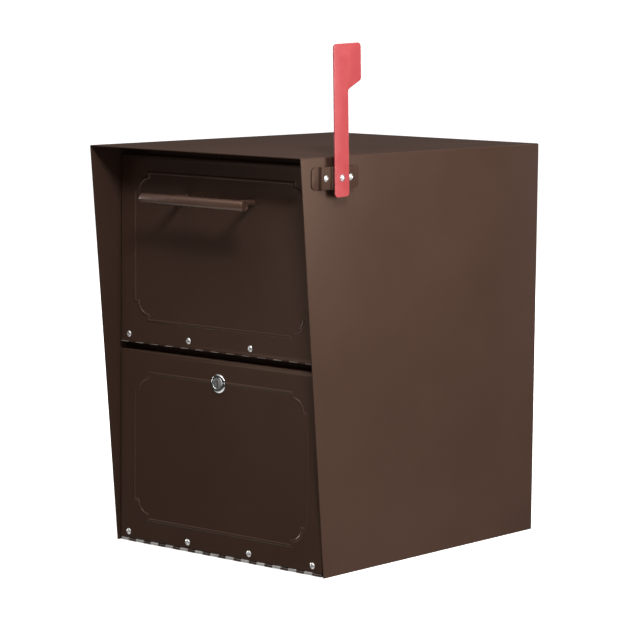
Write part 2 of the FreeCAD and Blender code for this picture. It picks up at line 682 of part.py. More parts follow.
def make_flag():
    """Flat flag: a straight stem with the blade towards the back at its top."""
    half = FLAG_STEM / 2
    rear = FLAG_BLADE - half
    blade_z = FLAG_LENGTH - FLAG_BLADE_HEIGHT
    neck_y = rear - FLAG_SLOPE[0]
    neck_z = blade_z - FLAG_SLOPE[1]
    drop = (neck_y - half) * FLAG_SLOPE[1] / FLAG_SLOPE[0]
    outline = [(-half, -FLAG_TAIL), (half, -FLAG_TAIL), (half, neck_z - drop), (rear, blade_z),
               (rear, FLAG_LENGTH), (-half, FLAG_LENGTH)]
    points = [Vector(flag_x, pivot.y + y, pivot.z + z) for y, z in outline]
    flag = prism(points, Vector(FLAG_SHEET, 0, 0))
    neck = points[2]
    for corner in points:
        turn_r = FLAG_NECK_R if corner == neck else FLAG_CORNER_R
        edge = edges_where(flag, lambda p: near(p.y, corner.y) and near(p.z, corner.z))
        flag = flag.makeFillet(turn_r, edge)
    flag = flag.cut(rod(PIVOT_R + PIVOT_FIT, FLAG_SHEET, Vector(flag_x, pivot.y, pivot.z), X_AXIS))
    flag.rotate(pivot, X_AXIS, FLAG_LEAN)
    return flag


low_fixed, low_moving, low_rod = make_hinge(low_pin, skin_back, SHEET)
high_fixed, high_moving, high_rod = make_hinge(high_pin, skin_back, rail_top)
for rivet_x in rivet_xs:
    leaf_hole = rod(RIVET_R + HOLE_FIT, LEAF, Vector(rivet_x, rail_rivet_y(), rail_top), Z_AXIS)
    high_fixed = high_fixed.cut(leaf_hole)
rail_rivets = [rivet(Vector(x, rail_rivet_y(), rail_top + LEAF), Z_AXIS, LEAF + SHEET) for x in rivet_xs]

jamb_low = WALL_FLANGE + JAMB_CLEARANCE
jamb_mid = rail_top + LEAF + RIVET_HEAD + JAMB_CLEARANCE
parts = {
    "wrapper": make_wrapper(),
    "back_panel": make_back_panel(),
    "floor_panel": make_floor_panel(),
    "centre_rail": make_centre_rail(),
    "header_rail": make_header_rail(),
    "lower_left_jamb": make_jamb(-1, jamb_low, web_bottom - JAMB_CLEARANCE),
    "lower_right_jamb": make_jamb(1, jamb_low, web_bottom - JAMB_CLEARANCE),
    "upper_left_jamb": make_jamb(-1, jamb_mid, header_z - JAMB_CLEARANCE),
    "upper_right_jamb": make_jamb(1, jamb_mid, header_z - JAMB_CLEARANCE),
    "door_bumpers": make_door_bumpers(),
    "baffle_plate": make_baffle_plate(),
    "lower_hinge_fixed_leaf": low_fixed,
    "lower_hinge_door_leaf": drill_row(low_moving, locker_rivet_z),
    "lower_hinge_pin": low_rod,
    "upper_hinge_fixed_leaf": high_fixed,
    "upper_hinge_door_leaf": drill_row(high_moving, hopper_rivet_z),
    "upper_hinge_pin": high_rod,
    "rail_rivets": Part.makeCompound(rail_rivets),
    "locker_door_panel": make_locker_panel(),
    "locker_rivets": door_rivets(locker_rivet_z),
    "lock_body": make_lock_body(),
    "lock_nut": make_lock_nut(),
    "lock_plug": make_lock_plug(),
    "lock_cam": make_lock_cam(),
    "cam_screw": make_cam_screw(),
    "hopper_door_panel": make_hopper_panel(),
    "hopper_rivets": door_rivets(hopper_rivet_z),
    "handle_bar": make_handle_bar(),
    "handle_end_caps": make_handle_end_caps(),
    "handle_posts": make_handle_posts(),
    "handle_screws": make_handle_screws(),
    "hopper_tray": make_hopper_tray(),
    "left_cheek": make_cheek(-1),
    "right_cheek": make_cheek(1),
    "flag_bracket": make_flag_bracket(),
    "bracket_spacers": make_bracket_spacers(),
    "bracket_rivets": make_bracket_rivets(),
    "flag_pivot_pin": make_flag_pivot(),
    "flag_washer": make_flag_washer(),
    "flag": make_flag(),
}

os.makedirs("parts", exist_ok=True)
for name, shape in parts.items():
    shape.exportStep("parts/" + name + ".step")
    state = "valid" if shape.isValid() else "INVALID"
    print(name, len(shape.Solids), "solids", round(shape.Volume), "mm3", state)
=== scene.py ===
# %% [markdown]
# # A locking parcel box in bent steel
# The box is folded from powder-coated sheet: a wrapper of two walls and a roof, a pull-down
# hopper door above and a locked collection door below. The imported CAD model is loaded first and
# stays as it is. The visible pieces are then modelled again over it with ordinary edit-mode
# tools, because a rendered sheet needs rounded bends, a pressed frame line and rolled hinge
# knuckles to catch light.

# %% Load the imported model
import json
import math

import bmesh
import bpy
from mathutils import Matrix, Vector


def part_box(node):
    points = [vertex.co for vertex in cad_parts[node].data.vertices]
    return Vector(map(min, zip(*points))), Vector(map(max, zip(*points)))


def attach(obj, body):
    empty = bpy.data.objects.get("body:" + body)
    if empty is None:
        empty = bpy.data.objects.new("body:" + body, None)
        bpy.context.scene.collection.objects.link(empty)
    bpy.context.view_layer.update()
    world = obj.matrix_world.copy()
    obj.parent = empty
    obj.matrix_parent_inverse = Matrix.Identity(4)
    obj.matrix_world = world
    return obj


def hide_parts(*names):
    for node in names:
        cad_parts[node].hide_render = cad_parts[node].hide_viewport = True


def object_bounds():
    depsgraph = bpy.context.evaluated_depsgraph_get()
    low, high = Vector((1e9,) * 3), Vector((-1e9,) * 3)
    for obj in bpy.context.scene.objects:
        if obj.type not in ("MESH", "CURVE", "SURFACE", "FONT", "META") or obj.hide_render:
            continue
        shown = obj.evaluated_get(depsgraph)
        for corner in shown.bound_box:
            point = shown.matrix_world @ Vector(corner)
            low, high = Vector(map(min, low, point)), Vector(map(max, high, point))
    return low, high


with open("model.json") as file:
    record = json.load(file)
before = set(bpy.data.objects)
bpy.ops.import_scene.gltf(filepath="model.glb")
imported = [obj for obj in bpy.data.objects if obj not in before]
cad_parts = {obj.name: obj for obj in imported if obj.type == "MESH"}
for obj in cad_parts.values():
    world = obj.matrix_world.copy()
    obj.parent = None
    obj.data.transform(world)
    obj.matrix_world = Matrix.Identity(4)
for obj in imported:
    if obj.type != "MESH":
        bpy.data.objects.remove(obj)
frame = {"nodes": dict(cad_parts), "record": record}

cad_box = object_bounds()
MM = 0.001
bpy.context.scene.view_settings.view_transform = "Standard"
print("CAD box in mm:", [[round(c / MM, 1) for c in corner] for corner in cad_box])

# %% [markdown]
# ## The camera
# A long lens a few metres away keeps the walls nearly parallel. The camera's three axes are
# worked out from the angles a photographer would give: how far round, how far up, and the tilt of
# the head.

# %% Camera
CAMERA_AT = Vector((2.244156, -2.647300, 0.700341))
CAMERA_ROUND = math.radians(40.486)
CAMERA_UP = math.radians(6.974)
CAMERA_ROLL = math.radians(0.563)
CAMERA_LENS = 155.006

backward = Vector((math.sin(CAMERA_ROUND) * math.cos(CAMERA_UP),
                   -math.cos(CAMERA_ROUND) * math.cos(CAMERA_UP),
                   math.sin(CAMERA_UP)))
level = Vector((math.cos(CAMERA_ROUND), math.sin(CAMERA_ROUND), 0))
upright = backward.cross(level)
rightward = level * math.cos(CAMERA_ROLL) + upright * math.sin(CAMERA_ROLL)
upward = upright * math.cos(CAMERA_ROLL) - level * math.sin(CAMERA_ROLL)

bpy.ops.object.select_all(action="DESELECT")
bpy.ops.object.camera_add(location=CAMERA_AT)
camera = bpy.context.object
camera.name = "view_camera"
camera.rotation_mode = "QUATERNION"
camera.rotation_quaternion = Matrix((rightward, upward, backward)).transposed().to_quaternion()
camera.data.lens = CAMERA_LENS
camera.data.sensor_width = 36
camera.data.clip_end = 300
bpy.context.scene.camera = camera
print("camera looks", [round(c, 3) for c in -backward])

# %% [markdown]
# ## Small helpers for edit mode
# An edit-mode operator works on what is selected. With no mouse, the selection is made by place:
# a test is run on the middle of each vertex, edge or face. Everything is deselected before a
# primitive is added, because the loaded CAD pieces start out selected.


# %% Selecting by place
def deselect():
    if bpy.context.object and bpy.context.object.mode != "OBJECT":
        bpy.ops.object.mode_set(mode="OBJECT")
    bpy.ops.object.select_all(action="DESELECT")


def open_mesh(name, size=(1, 1, 1)):
    """Name and size the new primitive, put its place in its mesh and open it in edit mode."""
    piece = bpy.context.object
    piece.name = name
    piece.scale = size
    bpy.ops.object.transform_apply(location=True, rotation=True, scale=True)
    bpy.ops.object.mode_set(mode="EDIT")
    return piece


def middle(part):
    """The middle of a vertex, an edge or a face."""
    if isinstance(part, bmesh.types.BMVert):
        return part.co
    corners = [vertex.co for vertex in part.verts]
    return sum(corners, Vector()) / len(corners)


def pick(kind, test):
    """Select the vertices ("VERT"), edges ("EDGE") or faces ("FACE") that pass the test."""
    bpy.ops.mesh.select_mode(type=kind)
    bpy.ops.mesh.select_all(action="DESELECT")
    mesh = bmesh.from_edit_mesh(bpy.context.object.data)
    parts = {"VERT": mesh.verts, "EDGE": mesh.edges, "FACE": mesh.faces}[kind]
    found = [part for part in parts if test(part)]
    for part in found:
        part.select_set(True)
    mesh.select_flush_mode()
    bmesh.update_edit_mesh(bpy.context.object.data)
    return len(found)


def near(a, b, within=0.05 * MM):
    return abs(a - b) < within


def face_towards(direction):
    """Turn the open sheet's faces so that most of them look along the direction."""
    bpy.ops.mesh.select_mode(type="FACE")
    bpy.ops.mesh.select_all(action="SELECT")
    bpy.ops.mesh.normals_make_consistent(inside=False)
    mesh = bmesh.from_edit_mesh(bpy.context.object.data)
    if sum(face.normal.dot(direction) * face.calc_area() for face in mesh.faces) < 0:
        bpy.ops.mesh.flip_normals()


# %% [markdown]
# ## Finishing a piece
# Sheet gets its gauge from Solidify and its soft cut edges from Bevel. Both are applied, so the
# finished mesh is real geometry. Each piece then rides on the body it is screwed or welded to,
# and hides the plain CAD solid that it stands for.


# %% Finishing helpers
def only(piece):
    """Select this piece alone and make it the active one."""
    deselect()
    piece.select_set(True)
    bpy.context.view_layer.objects.active = piece


def modify(piece, kind, **settings):
    """Add a modifier with these settings and apply it."""
    if piece.mode != "OBJECT":
        bpy.ops.object.mode_set(mode="OBJECT")
    only(piece)
    modifier = piece.modifiers.new(kind.lower(), kind)
    for key, value in settings.items():
        setattr(modifier, key, value)
    bpy.ops.object.modifier_apply(modifier=modifier.name)


def soften(piece, width, segments=2, angle=40):
    """Round every edge sharper than the angle."""
    modify(piece, "BEVEL", width=width, segments=segments, limit_method="ANGLE",
           angle_limit=math.radians(angle), harden_normals=False)


def aim(piece, centre, direction):
    """Move a piece made on +Z at the origin to its place, turned to the direction."""
    only(piece)
    piece.rotation_mode = "QUATERNION"
    piece.rotation_quaternion = Vector(direction).to_track_quat("Z", "Y")
    piece.location = centre
    bpy.ops.object.transform_apply(location=True, rotation=True, scale=True)


def twin(piece, name, shift):
    """A copy with its own mesh, moved by shift."""
    copy = piece.copy()
    copy.data = piece.data.copy()
    copy.name = name
    bpy.context.collection.objects.link(copy)
    only(copy)
    copy.location = shift
    bpy.ops.object.transform_apply(location=True, rotation=False, scale=False)
    return copy


def join(pieces, name):
    deselect()
    for piece in pieces:
        piece.select_set(True)
    bpy.context.view_layer.objects.active = pieces[0]
    bpy.ops.object.join()
    pieces[0].name = name
    return pieces[0]


def hand_over(piece, body, slot, material, *nodes, angle=35):
    """Shade the piece, give it its finish, and tie it to its body in place of the CAD nodes."""
    only(piece)
    bpy.ops.object.shade_smooth_by_angle(angle=math.radians(angle))
    piece.data.materials.clear()
    piece.data.materials.append(material)
    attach(piece, body)
    if nodes:
        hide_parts(*nodes)
    print(piece.name, "has", len(piece.data.polygons), "faces and rides on", body)


# %% [markdown]
# ## Finishes
# Every finish is built from noise on the object's own coordinates, so that it is fixed to the
# piece and stays the same size on all of them. Values that don't change over the surface are set
# straight on the shader.


# %% Material helpers
def new_finish(name):
    material = bpy.data.materials.new(name)
    material.use_nodes = True
    shader = material.node_tree.nodes["Principled BSDF"]
    return material, shader


def node(material, kind, **inputs):
    """Add a shader node and set its inputs by name."""
    made = material.node_tree.nodes.new(kind)
    for key, value in inputs.items():
        made.inputs[key.replace("_", " ")].default_value = value
    return made


def link(material, source, target):
    material.node_tree.links.new(source, target)


def noise(material, scale, detail=2.0, stretch=(1, 1, 1)):
    """Noise in object space: its scale is in cells per metre."""
    place = node(material, "ShaderNodeTexCoord")
    mapping = node(material, "ShaderNodeMapping", Scale=stretch)
    texture = node(material, "ShaderNodeTexNoise", Scale=scale, Detail=detail, Roughness=0.55)
    link(material, place.outputs["Object"], mapping.inputs["Vector"])
    link(material, mapping.outputs["Vector"], texture.inputs["Vector"])
    return texture.outputs["Fac"]


def spread(material, source, low, high, from_low=0.3, from_high=0.7):
    """Map a texture's middle range to low..high."""
    remap = node(material, "ShaderNodeMapRange", From_Min=from_low, From_Max=from_high,
                 To_Min=low, To_Max=high)
    link(material, source, remap.inputs["Value"])
    return remap.outputs["Result"]


def blend_colours(material, factor, first, second):
    mix = material.node_tree.nodes.new("ShaderNodeMix")
    mix.data_type = "RGBA"
    mix.inputs["A"].default_value = (*first, 1)
    mix.inputs["B"].default_value = (*second, 1)
    link(material, factor, mix.inputs["Factor"])
    return mix.outputs["Result"]


def relief(material, shader, layers):
    """Stack bump layers of (height texture, depth in metres) and put them on the shader."""
    below = None
    for height, depth in layers:
        bump = node(material, "ShaderNodeBump", Strength=1.0, Distance=depth)
        link(material, height, bump.inputs["Height"])
        if below:
            link(material, below, bump.inputs["Normal"])
        below = bump.outputs["Normal"]
    link(material, below, shader.inputs["Normal"])


# %% [markdown]
# ### Powder coat
# Powder is sprayed dry and melted in an oven. It flows out almost flat and leaves a faint orange
# peel, a fine grit, and a tone that drifts a little where the film is thinner. Two close browns
# mixed by slow noise give the drift, and two bump layers give the peel and the grit.


# %% Powder coat
def powder_coat(name, dark, light, roughness, specular):
    material, shader = new_finish(name)
    drift = spread(material, noise(material, 7.0, 4.0), 0.0, 1.0)
    link(material, blend_colours(material, drift, dark, light), shader.inputs["Base Color"])
    patches = noise(material, 38.0, 3.0)
    sheen = spread(material, patches, roughness - 0.02, roughness + 0.03)
    link(material, sheen, shader.inputs["Roughness"])
    peel, grit = noise(material, 14.0, 1.0), noise(material, 360.0, 1.0)
    relief(material, shader, [(peel, PEEL_DEPTH), (grit, GRIT_DEPTH)])
    shader.inputs["Specular IOR Level"].default_value = specular
    shader.inputs["Specular Tint"].default_value = BRONZE_TINT
    return material


PEEL_DEPTH = 0.00020
GRIT_DEPTH = 0.000012
BRONZE_TINT = (1.0, 0.68, 0.52, 1.0)   # fine metal flake in the powder warms its gloss
cabinet_coat = powder_coat("cabinet_powder_coat",
                           (0.050, 0.0275, 0.0195), (0.058, 0.0320, 0.0228), 0.38, 0.15)
door_coat = powder_coat("door_powder_coat",
                        (0.049, 0.0268, 0.0186), (0.055, 0.0302, 0.0212), 0.24, 0.60)
# A lighter copy of the doors' brown: the extra lightness is painted light, standing in for the
# light that falls on the round bar from above.
handle_coat = powder_coat("handle_powder_coat_with_painted_light",
                          (0.078, 0.0430, 0.0310), (0.088, 0.0490, 0.0355), 0.27, 0.70)
print("three browns mixed")

# %% [markdown]
# ### Metals, rubber, nylon and the flag's paint
# Bare metal takes its colour from the metal itself, so it differs mostly in how it scatters
# light: polished chrome hardly at all, rolled zinc in soft spangles, drawn steel along fine
# lines.


# %% Metals
def metal(name, dark, light, roughness, grain=(1, 1, 1), scratch=0.000004):
    material, shader = new_finish(name)
    shader.inputs["Metallic"].default_value = 1.0
    tone = spread(material, noise(material, 140.0, 3.0), 0.0, 1.0)
    link(material, blend_colours(material, tone, dark, light), shader.inputs["Base Color"])
    worn = noise(material, 420.0, 3.0, grain)
    sheen = spread(material, worn, roughness * 0.75, roughness * 1.3)
    link(material, sheen, shader.inputs["Roughness"])
    relief(material, shader, [(noise(material, 900.0, 2.0, grain), scratch)])
    return material


hinge_steel = metal("hinge_bright_zinc",
                    (0.72, 0.69, 0.66), (0.86, 0.84, 0.81), 0.46, grain=(0.12, 1, 1))
rivet_steel = metal("rivet_drawn_steel",
                    (0.76, 0.75, 0.73), (0.88, 0.87, 0.85), 0.40)
zinc_steel = metal("zinc_plated_steel",
                   (0.42, 0.43, 0.43), (0.66, 0.66, 0.64), 0.38, scratch=0.000008)
lock_chrome = metal("lock_polished_chrome",
                    (0.84, 0.85, 0.86), (0.92, 0.92, 0.92), 0.14, scratch=0.0000015)
plug_nickel = metal("plug_satin_nickel",
                    (0.70, 0.70, 0.68), (0.84, 0.84, 0.82), 0.32, grain=(1, 1, 0.2))
print("five metals mixed")


# %% Rubber, nylon and red paint
def moulded(name, dark, light, roughness, depth):
    """Moulded or painted plastic: two close tones, a slightly uneven sheen and a fine skin."""
    material, shader = new_finish(name)
    tone = spread(material, noise(material, 45.0, 3.0), 0.0, 1.0)
    link(material, blend_colours(material, tone, dark, light), shader.inputs["Base Color"])
    patches = noise(material, 90.0, 2.0)
    sheen = spread(material, patches, roughness - 0.04, roughness + 0.05)
    link(material, sheen, shader.inputs["Roughness"])
    relief(material, shader, [(noise(material, 700.0, 1.0), depth)])
    return material


bumper_rubber = moulded("bumper_black_rubber",
                        (0.012, 0.012, 0.012), (0.022, 0.022, 0.021), 0.70, 0.00002)
washer_nylon = moulded("washer_white_nylon",
                       (0.70, 0.69, 0.65), (0.80, 0.79, 0.75), 0.45, 0.00001)
flag_red = moulded("flag_red_paint",
                   (0.385, 0.053, 0.057), (0.425, 0.063, 0.067), 0.36, 0.00002)

finishes = {"cabinet_coat": cabinet_coat, "door_coat": door_coat, "handle_coat": handle_coat,
            "hinge_steel": hinge_steel, "rivet_steel": rivet_steel, "zinc_steel": zinc_steel,
            "lock_chrome": lock_chrome, "plug_nickel": plug_nickel, "bumper_rubber": bumper_rubber,
            "washer_nylon": washer_nylon, "flag_red": flag_red}

# %% [markdown]
# ## The pieces that stay
# Inside rails, stops, tray, cheeks, floor and small hardware are flat sheet and plain turned
# parts, so their CAD solids already have the right shape. They only need their finish in place of
# the grey.

# %% Finish every CAD node
for subpart in frame["record"]["subparts"]:
    solid = frame["nodes"][subpart["node"]]
    solid.data.materials.clear()
    solid.data.materials.append(finishes[subpart["material_slot"]])
print(len(frame["nodes"]), "CAD nodes finished")

# %% [markdown]
# ## The wrapper
# Both walls and the roof are one sheet, folded twice and cut on a slope so that the roof becomes
# a visor. A cube of the outside size gives the three flat runs at once: its other faces are
# deleted, the two long edges are bevelled into bends, and one bisect makes the sloping cut
# through all three.

# %% Wrapper
SHEET = 1.2 * MM
BEND = 1.8 * MM            # outside radius of a bend
BEAD = 0.8 * MM            # height of the frame line pressed into the doors
SIDE_LEAD = 1.0 * MM       # walls in front of the doors at the base
CUT_EDGE = 0.22 * MM       # coated cut edges are slightly round

door_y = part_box("locker_door_panel")[0].y + BEAD
low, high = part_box("wrapper")
deselect()
bpy.ops.mesh.primitive_cube_add(size=1, location=(low + high) / 2)
wrapper = open_mesh("wrapper_sheet", high - low)
pick("FACE", lambda f: f.normal.z < -0.5 or abs(f.normal.y) > 0.5)
bpy.ops.mesh.delete(type="FACE")
pick("EDGE", lambda e: near(middle(e).z, high.z) and near(abs(middle(e).x), high.x))
bpy.ops.mesh.bevel(offset=BEND, segments=5, affect="EDGES")
bpy.ops.mesh.select_all(action="SELECT")
visor_foot = Vector((0, door_y - SIDE_LEAD, low.z))
slope = Vector((0, low.z - high.z, low.y - visor_foot.y))
bpy.ops.mesh.bisect(plane_co=visor_foot, plane_no=slope, clear_outer=True)
face_towards(Vector((0, 0, 1)))
modify(wrapper, "SOLIDIFY", thickness=SHEET, offset=-1, use_even_offset=True)
soften(wrapper, CUT_EDGE)
hand_over(wrapper, "housing", "cabinet_coat", cabinet_coat, "wrapper")

# %% [markdown]
# ## The door skins
# Each door is a shallow pan with a frame line pressed through it: a rectangle whose corners step
# in to a quarter arc. The line starts as a plane whose corners are rounded. Its four straight
# edges are pushed out by one step, which leaves the notched corners by itself. Six insets, three
# rising and three falling, then make a rounded ridge of even width, and the rim is filled and
# folded back.

# %% Door sizes
FRAME_INSET = 24.6 * MM    # door edge to the frame line
FRAME_STEP = 6.6 * MM      # how far the line steps in beside each arc
FRAME_ARC = 16.6 * MM      # radius of the arcs
RIDGE = 3.8 * MM           # width of the pressed line
RIM = 6.0 * MM             # plain strip kept along the door's edge while it is folded
RIDGE_RUNS = ((0.12, 0.45), (0.16, 0.30), (0.22, 0.05),      # share of the width, rise in mm
              (0.22, -0.05), (0.16, -0.30), (0.12, -0.45))


# %% Door skin
def press_frame_line(half_x, bottom, top):
    """Grow the frame's outline from the open plane and press the ridge into it."""
    reach = RIDGE / 2
    centre_z = (bottom + top) / 2
    arc_x = half_x - FRAME_STEP - FRAME_ARC
    arc_z = (top - bottom) / 2 - FRAME_STEP - FRAME_ARC
    bpy.ops.mesh.select_all(action="SELECT")
    bpy.ops.mesh.bevel(offset=FRAME_ARC + reach, segments=9, affect="VERTICES")
    for x, z in ((1, 0), (-1, 0), (0, 1), (0, -1)):
        edge_at = Vector((x * (arc_x + FRAME_ARC + reach), door_y,
                          centre_z + z * (arc_z + FRAME_ARC + reach)))
        pick("EDGE", lambda e: (middle(e) - edge_at).length < 0.5 * MM)
        step = (x * FRAME_STEP, 0, z * FRAME_STEP)
        bpy.ops.mesh.extrude_edges_move(TRANSFORM_OT_translate={"value": step})
    for axis, arc, centre in ((0, arc_x, 0), (2, arc_z, centre_z)):
        pick("VERT", lambda v: near(abs(v.co[axis] - centre), arc))
        stretch = [1, 1, 1]
        stretch[axis] = (arc + reach) / arc
        bpy.ops.transform.resize(value=stretch, center_override=(0, door_y, centre_z))
    bpy.ops.mesh.select_mode(type="FACE")
    bpy.ops.mesh.select_all(action="SELECT")
    bpy.ops.mesh.dissolve_faces()
    for share, rise in RIDGE_RUNS:
        bpy.ops.mesh.inset(thickness=share * RIDGE, depth=rise * MM)


def door_skin(name, cad_node, margins):
    low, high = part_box(cad_node)
    bottom, top = low.z + margins[0], high.z - margins[1]
    half_x = high.x - FRAME_INSET
    grow = RIDGE / 2 - FRAME_STEP
    deselect()
    bpy.ops.mesh.primitive_plane_add(size=2, location=(0, door_y, (bottom + top) / 2),
                                     rotation=(math.pi / 2, 0, 0))
    skin = open_mesh(name, (half_x + grow, (top - bottom) / 2 + grow, 1))
    press_frame_line(half_x, bottom, top)
    bpy.ops.mesh.select_all(action="DESELECT")
    door_middle = Vector((0, door_y, (low.z + high.z) / 2))
    bpy.ops.mesh.primitive_plane_add(size=1, location=door_middle, rotation=(math.pi / 2, 0, 0))
    bpy.ops.transform.resize(value=(high.x - low.x, 1, high.z - low.z), center_override=door_middle)
    bpy.ops.mesh.inset(thickness=RIM, depth=0)
    bpy.ops.mesh.delete(type="ONLY_FACE")
    pick("EDGE", lambda e: e.is_boundary and max(abs(v.co.x) for v in e.verts) < high.x - RIM / 2)
    bpy.ops.mesh.fill(use_beauty=True)
    pick("EDGE", lambda e: e.is_boundary and middle(e).z > low.z + RIM / 2)
    bpy.ops.mesh.extrude_edges_move(TRANSFORM_OT_translate={"value": (0, high.y - door_y, 0)})
    bpy.ops.mesh.select_all(action="SELECT")
    face_towards(Vector((0, -1, 0)))
    fold_at = (lambda m: near(abs(m.x), high.x) and near(m.y, door_y),
               lambda m: near(m.z, high.z) and near(m.y, door_y),
               lambda m: near(m.z, high.z) and near(abs(m.x), high.x))
    pick("EDGE", lambda e: any(test(middle(e)) for test in fold_at))
    bpy.ops.mesh.bevel(offset=BEND, segments=4, affect="EDGES")
    modify(skin, "SOLIDIFY", thickness=SHEET, offset=-1, use_even_offset=True)
    soften(skin, CUT_EDGE, angle=60)
    return skin


locker_skin = door_skin("locker_door_skin", "locker_door_panel", (26.9 * MM, 27.3 * MM))
hand_over(locker_skin, "locker_door", "door_coat", door_coat, "locker_door_panel", angle=30)
hopper_skin = door_skin("hopper_door_skin", "hopper_door_panel", (29.5 * MM, 21.5 * MM))
hand_over(hopper_skin, "hopper_door", "door_coat", door_coat, "hopper_door_panel", angle=30)

# %% [markdown]
# ## Turned parts
# Rivets, the lock, the handle's tube and its posts are round about an axis. They are turned the
# same way: a circle is added, then extruded ring by ring, each ring resized and raised to the
# profile. A profile that ends on its first ring closes on itself, and open ends are filled.


# %% Turning
def turn(name, profile, segments=32):
    """Turn (radius, height) rings about +Z at the origin."""
    deselect()
    radius, height = profile[0]
    bpy.ops.mesh.primitive_circle_add(vertices=segments, radius=radius, location=(0, 0, height))
    piece = open_mesh(name)
    bpy.ops.mesh.select_all(action="SELECT")
    for next_radius, next_height in profile[1:]:
        step = (0, 0, next_height - height)
        bpy.ops.mesh.extrude_edges_move(TRANSFORM_OT_translate={"value": step})
        bpy.ops.transform.resize(value=(next_radius / radius, next_radius / radius, 1),
                                 center_override=(0, 0, next_height))
        radius, height = next_radius, next_height
    bpy.ops.mesh.select_all(action="SELECT")
    bpy.ops.mesh.remove_doubles(threshold=0.001 * MM)
    bpy.ops.mesh.fill_holes(sides=0)
    bpy.ops.mesh.select_all(action="SELECT")
    bpy.ops.mesh.normals_make_consistent(inside=False)
    bpy.ops.object.mode_set(mode="OBJECT")
    return piece


def dome_profile(rim, crown, height, rings, base=0.0):
    """Rings of a low dome, from the rim inwards to a small crown."""
    ball = (rim ** 2 + height ** 2) / (2 * height)
    found = []
    for i in range(rings + 1):
        radius = rim + (crown - rim) * i / rings
        found.append((radius, base + math.sqrt(ball ** 2 - radius ** 2) - (ball - height)))
    return found


# %% [markdown]
# ## Blind rivets
# The rivets are set from the front: a mandrel is pulled through a hollow dome until it snaps,
# which leaves a small pit with the broken mandrel inside. One rivet is turned and copied along
# each row.

# %% Rivets
RIVET_R = 3.95 * MM
RIVET_HEAD = 1.95 * MM
PIT_R = 1.35 * MM
MANDREL_R = 0.95 * MM
RIVET_SHANK = 1.6 * MM
RIVET_PITCH = 101.6 * MM
DOOR_GRIP = 2.5 * MM       # how far the shanks reach behind the skin


def rivet_profile(grip):
    shank = [(RIVET_SHANK, -grip), (RIVET_SHANK, 0), (RIVET_R - 0.25 * MM, 0), (RIVET_R, 0.18 * MM)]
    dome = dome_profile(RIVET_R, PIT_R + 0.2 * MM, RIVET_HEAD, 7)[1:]
    pit_top = dome[-1][1]
    pit = [(PIT_R, pit_top - 0.12 * MM), (PIT_R - 0.08 * MM, pit_top - 0.8 * MM),
           (MANDREL_R, pit_top - 0.8 * MM), (MANDREL_R - 0.1 * MM, pit_top - 0.42 * MM),
           (MANDREL_R * 0.4, pit_top - 0.34 * MM)]
    return shank + dome + pit


def rivets(name, places, direction, grip):
    """A group of rivets, one head at each place."""
    made = []
    for place in places:
        if made:
            made.append(twin(made[0], name, place - places[0]))
        else:
            made.append(turn(name, rivet_profile(grip)))
            aim(made[0], place, direction)
    return join(made, name)


def row_of(cad_node):
    """Centres of a door's four rivets on the door's face."""
    low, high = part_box(cad_node)
    z = (low.z + high.z) / 2
    return [Vector((RIVET_PITCH * (i - 1.5), door_y, z)) for i in range(4)]


FRONT = (0, -1, 0)
locker_row = rivets("locker_rivet_heads", row_of("locker_rivets"), FRONT, DOOR_GRIP)
hand_over(locker_row, "locker_door", "rivet_steel", rivet_steel, "locker_rivets")
hopper_row = rivets("hopper_rivet_heads", row_of("hopper_rivets"), FRONT, DOOR_GRIP)
hand_over(hopper_row, "hopper_door", "rivet_steel", rivet_steel, "hopper_rivets")

# %% [markdown]
# ## The cam lock
# The bezel is a polished dome with a rolled rim round a recessed plug. The barrel behind it is
# threaded for the nut. The plug has a keyway with the wavy sides that keep wrong keys out: a
# strip is extruded step by step to that outline, given depth, and cut from the plug with a
# Boolean.

# %% Lock body
low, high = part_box("lock_body")
lock_at = Vector((0, door_y, (low.z + high.z) / 2))
BEZEL_R = (high.z - low.z) / 2
BEZEL_FRONT = door_y - low.y
BARREL_R = 9.4 * MM
BARREL_BACK = high.y - door_y
BORE_R = 6.45 * MM
THREAD_PITCH = 1.25 * MM
THREAD_DEPTH = 0.45 * MM


def lock_profile():
    lip = BORE_R + 0.6 * MM
    mouth = [(BORE_R, -BARREL_BACK), (BORE_R, BEZEL_FRONT - 1.9 * MM),
             (BORE_R + 0.1 * MM, BEZEL_FRONT - 0.5 * MM),
             (BORE_R + 0.3 * MM, BEZEL_FRONT - 0.12 * MM), (lip, BEZEL_FRONT)]
    crown = []
    for i in range(1, 9):
        angle = math.pi / 2 * i / 8
        crown.append((lip + (BEZEL_R - lip) * math.sin(angle),
                      0.7 * MM + (BEZEL_FRONT - 0.7 * MM) * math.cos(angle)))
    crown += [(BEZEL_R, 0.4 * MM), (BEZEL_R - 0.25 * MM, 0), (BARREL_R, 0)]
    thread = []
    depth = 2.0 * MM
    while depth < BARREL_BACK - 1.5 * MM:
        thread += [(BARREL_R, -depth), (BARREL_R - THREAD_DEPTH, -depth - THREAD_PITCH / 2)]
        depth += THREAD_PITCH
    tail = [(BARREL_R - THREAD_DEPTH, -BARREL_BACK + 0.4 * MM), (BARREL_R - 0.8 * MM, -BARREL_BACK)]
    return mouth + crown + thread + tail + mouth[:1]


lock_body = turn("lock_bezel_and_barrel", lock_profile(), 48)
aim(lock_body, lock_at, FRONT)
hand_over(lock_body, "locker_door", "lock_chrome", lock_chrome, "lock_body")

# %% Lock plug
low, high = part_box("lock_plug")
PLUG_R = (high.x - low.x) / 2
plug_front = door_y - low.y
TENON = 6.0 * MM
TENON_LENGTH = 1.6 * MM
KEYWAY_HEIGHT = 8.6 * MM
KEYWAY_WIDTH = 1.9 * MM
KEYWAY_DEPTH = 9.0 * MM
KEYWAY_WAVE = (0.0, 0.7, 0.7, -0.5, -0.5, 0.25)   # sideways shift of each step, in mm

